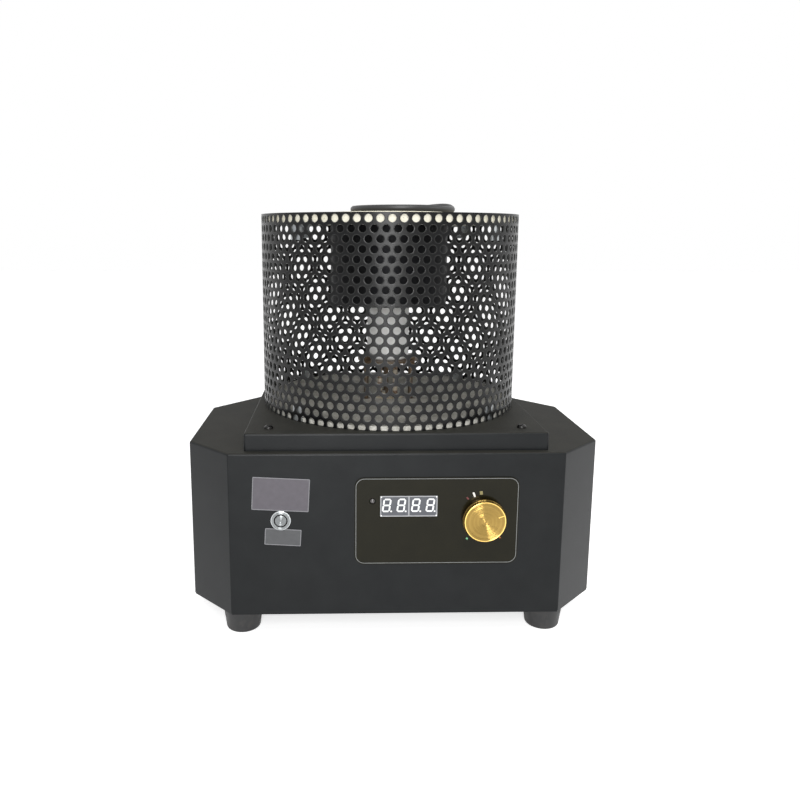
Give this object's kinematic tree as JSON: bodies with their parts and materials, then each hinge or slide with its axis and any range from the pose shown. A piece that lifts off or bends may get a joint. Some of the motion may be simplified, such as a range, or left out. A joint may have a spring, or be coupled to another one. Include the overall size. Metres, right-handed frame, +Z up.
{
  "type": "electric crucible melting furnace",
  "caption": "Bench-top electric crucible furnace: low eight-sided control housing with a dial, a display and a push button, and a round perforated guard round the chamber.",
  "frame": {"origin": "on the standing surface, under the axis of the melting chamber and its round guard, which is the centre of the furnace's box without its cord", "axes": "+Z up along the chamber's axis, +Y from the control panel to the rear where the cord comes out, +X to the right as seen from the front"},
  "size_m": [0.376, 0.3903, 0.3945],
  "materials": {
    "powder_coat": "fine textured black powder coat",
    "galvanised": "zinc plated sheet steel",
    "guard_black": "semi-gloss black enamel on perforated sheet",
    "zinc_screw": "zinc plated steel",
    "black_screw": "black oxide steel",
    "rubber": "matte black rubber",
    "calcium_silicate": "matte cream heat resistant board",
    "heat_stained_steel": "dark heat stained steel",
    "fibre_wool": "matte white pressed ceramic fibre",
    "alumina": "matte alumina",
    "glazed_alumina": "glossy white glazed alumina",
    "resistance_wire": "oxidised resistance alloy",
    "graphite": "matte dark grey graphite",
    "copper_lead": "braided high temperature sleeving",
    "panel_gloss": "glossy near black overlay with printed marks",
    "display_grey": "grey seven segment display with pale segments",
    "lamp_red": "translucent red dome",
    "gold_aluminium": "gold anodised turned aluminium",
    "button_steel": "polished nickel plated brass",
    "dark_plastic": "matte black moulded plastic",
    "circuit_board": "green soldermask",
    "transformer_core": "varnished laminated core",
    "bare_aluminium": "extruded aluminium",
    "cord_black": "smooth black flexible sheath",
    "plug_black": "moulded black plastic, plated pins",
    "spring_steel": "stainless spring wire",
    "brass": "plain brass"
  },
  "bodies": {
    "housing": {"base_shell": "powder_coat", "base_plate": "galvanised", "base_plate_screws": "zinc_screw", "foot_front_left": "rubber", "foot_front_right": "rubber", "foot_rear_left": "rubber", "foot_rear_right": "rubber", "foot_screws": "zinc_screw", "foot_washers": "zinc_screw", "top_tray": "powder_coat", "tray_screws": "black_screw", "guard": "guard_black", "guard_brackets": "galvanised", "guard_bracket_screws": "zinc_screw", "floor_board": "calcium_silicate", "top_board": "calcium_silicate", "mouth_ring": "calcium_silicate", "board_brackets": "galvanised", "chamber_can": "heat_stained_steel", "insulation_base": "fibre_wool", "insulation_sleeve": "fibre_wool", "muffle": "alumina", "muffle_floor": "alumina", "heating_coil": "resistance_wire", "pedestal_tube": "glazed_alumina", "pedestal_ring": "heat_stained_steel", "pedestal_studs": "heat_stained_steel", "pedestal_nuts": "heat_stained_steel", "heater_leads": "copper_lead", "thermocouple": "heat_stained_steel", "lead_grommet": "alumina", "panel_overlay": "panel_gloss", "display_module": "display_grey", "indicator_lamp": "lamp_red", "pot_body": "brass", "pot_nut": "zinc_screw", "button_bezel": "button_steel", "button_nut": "zinc_screw", "button_contacts": "dark_plastic", "button_spring": "spring_steel", "control_board": "circuit_board", "board_spacers": "brass", "power_board": "circuit_board", "power_board_spacers": "brass", "transformer": "transformer_core", "fuse_holder": "dark_plastic", "heatsink": "bare_aluminium", "triac": "dark_plastic", "terminal_block": "dark_plastic", "cord_gland": "dark_plastic", "gland_nut": "dark_plastic", "mains_cord": "cord_black", "cord_coil": "cord_black", "cord_tail": "cord_black", "plug": "plug_black"},
    "dial": {"knob": "gold_aluminium", "knob_grub_screw": "black_screw", "pot_shaft": "bare_aluminium"},
    "button": {"button_cap": "button_steel"},
    "crucible": {"crucible": "graphite"}
  },
  "joints": [
    {"name": "knob_turn", "type": "hinge", "parent": "housing", "child": "dial", "pos_m": [0.0767, -0.14, 0.1133], "axis": [0, 1, 0], "range_deg": [-223, 77]},
    {"name": "button_press", "type": "slide", "parent": "housing", "child": "button", "axis": [0, 1, 0], "range_m": [0, 0.0025], "stiffness_N_per_m": 600, "springref_m": -0.003, "deforming": ["button_spring"]},
    {"name": "crucible_lift", "type": "slide", "parent": "housing", "child": "crucible", "axis": [0, 0, 1], "range_m": [0, 0.11]}
  ]
}
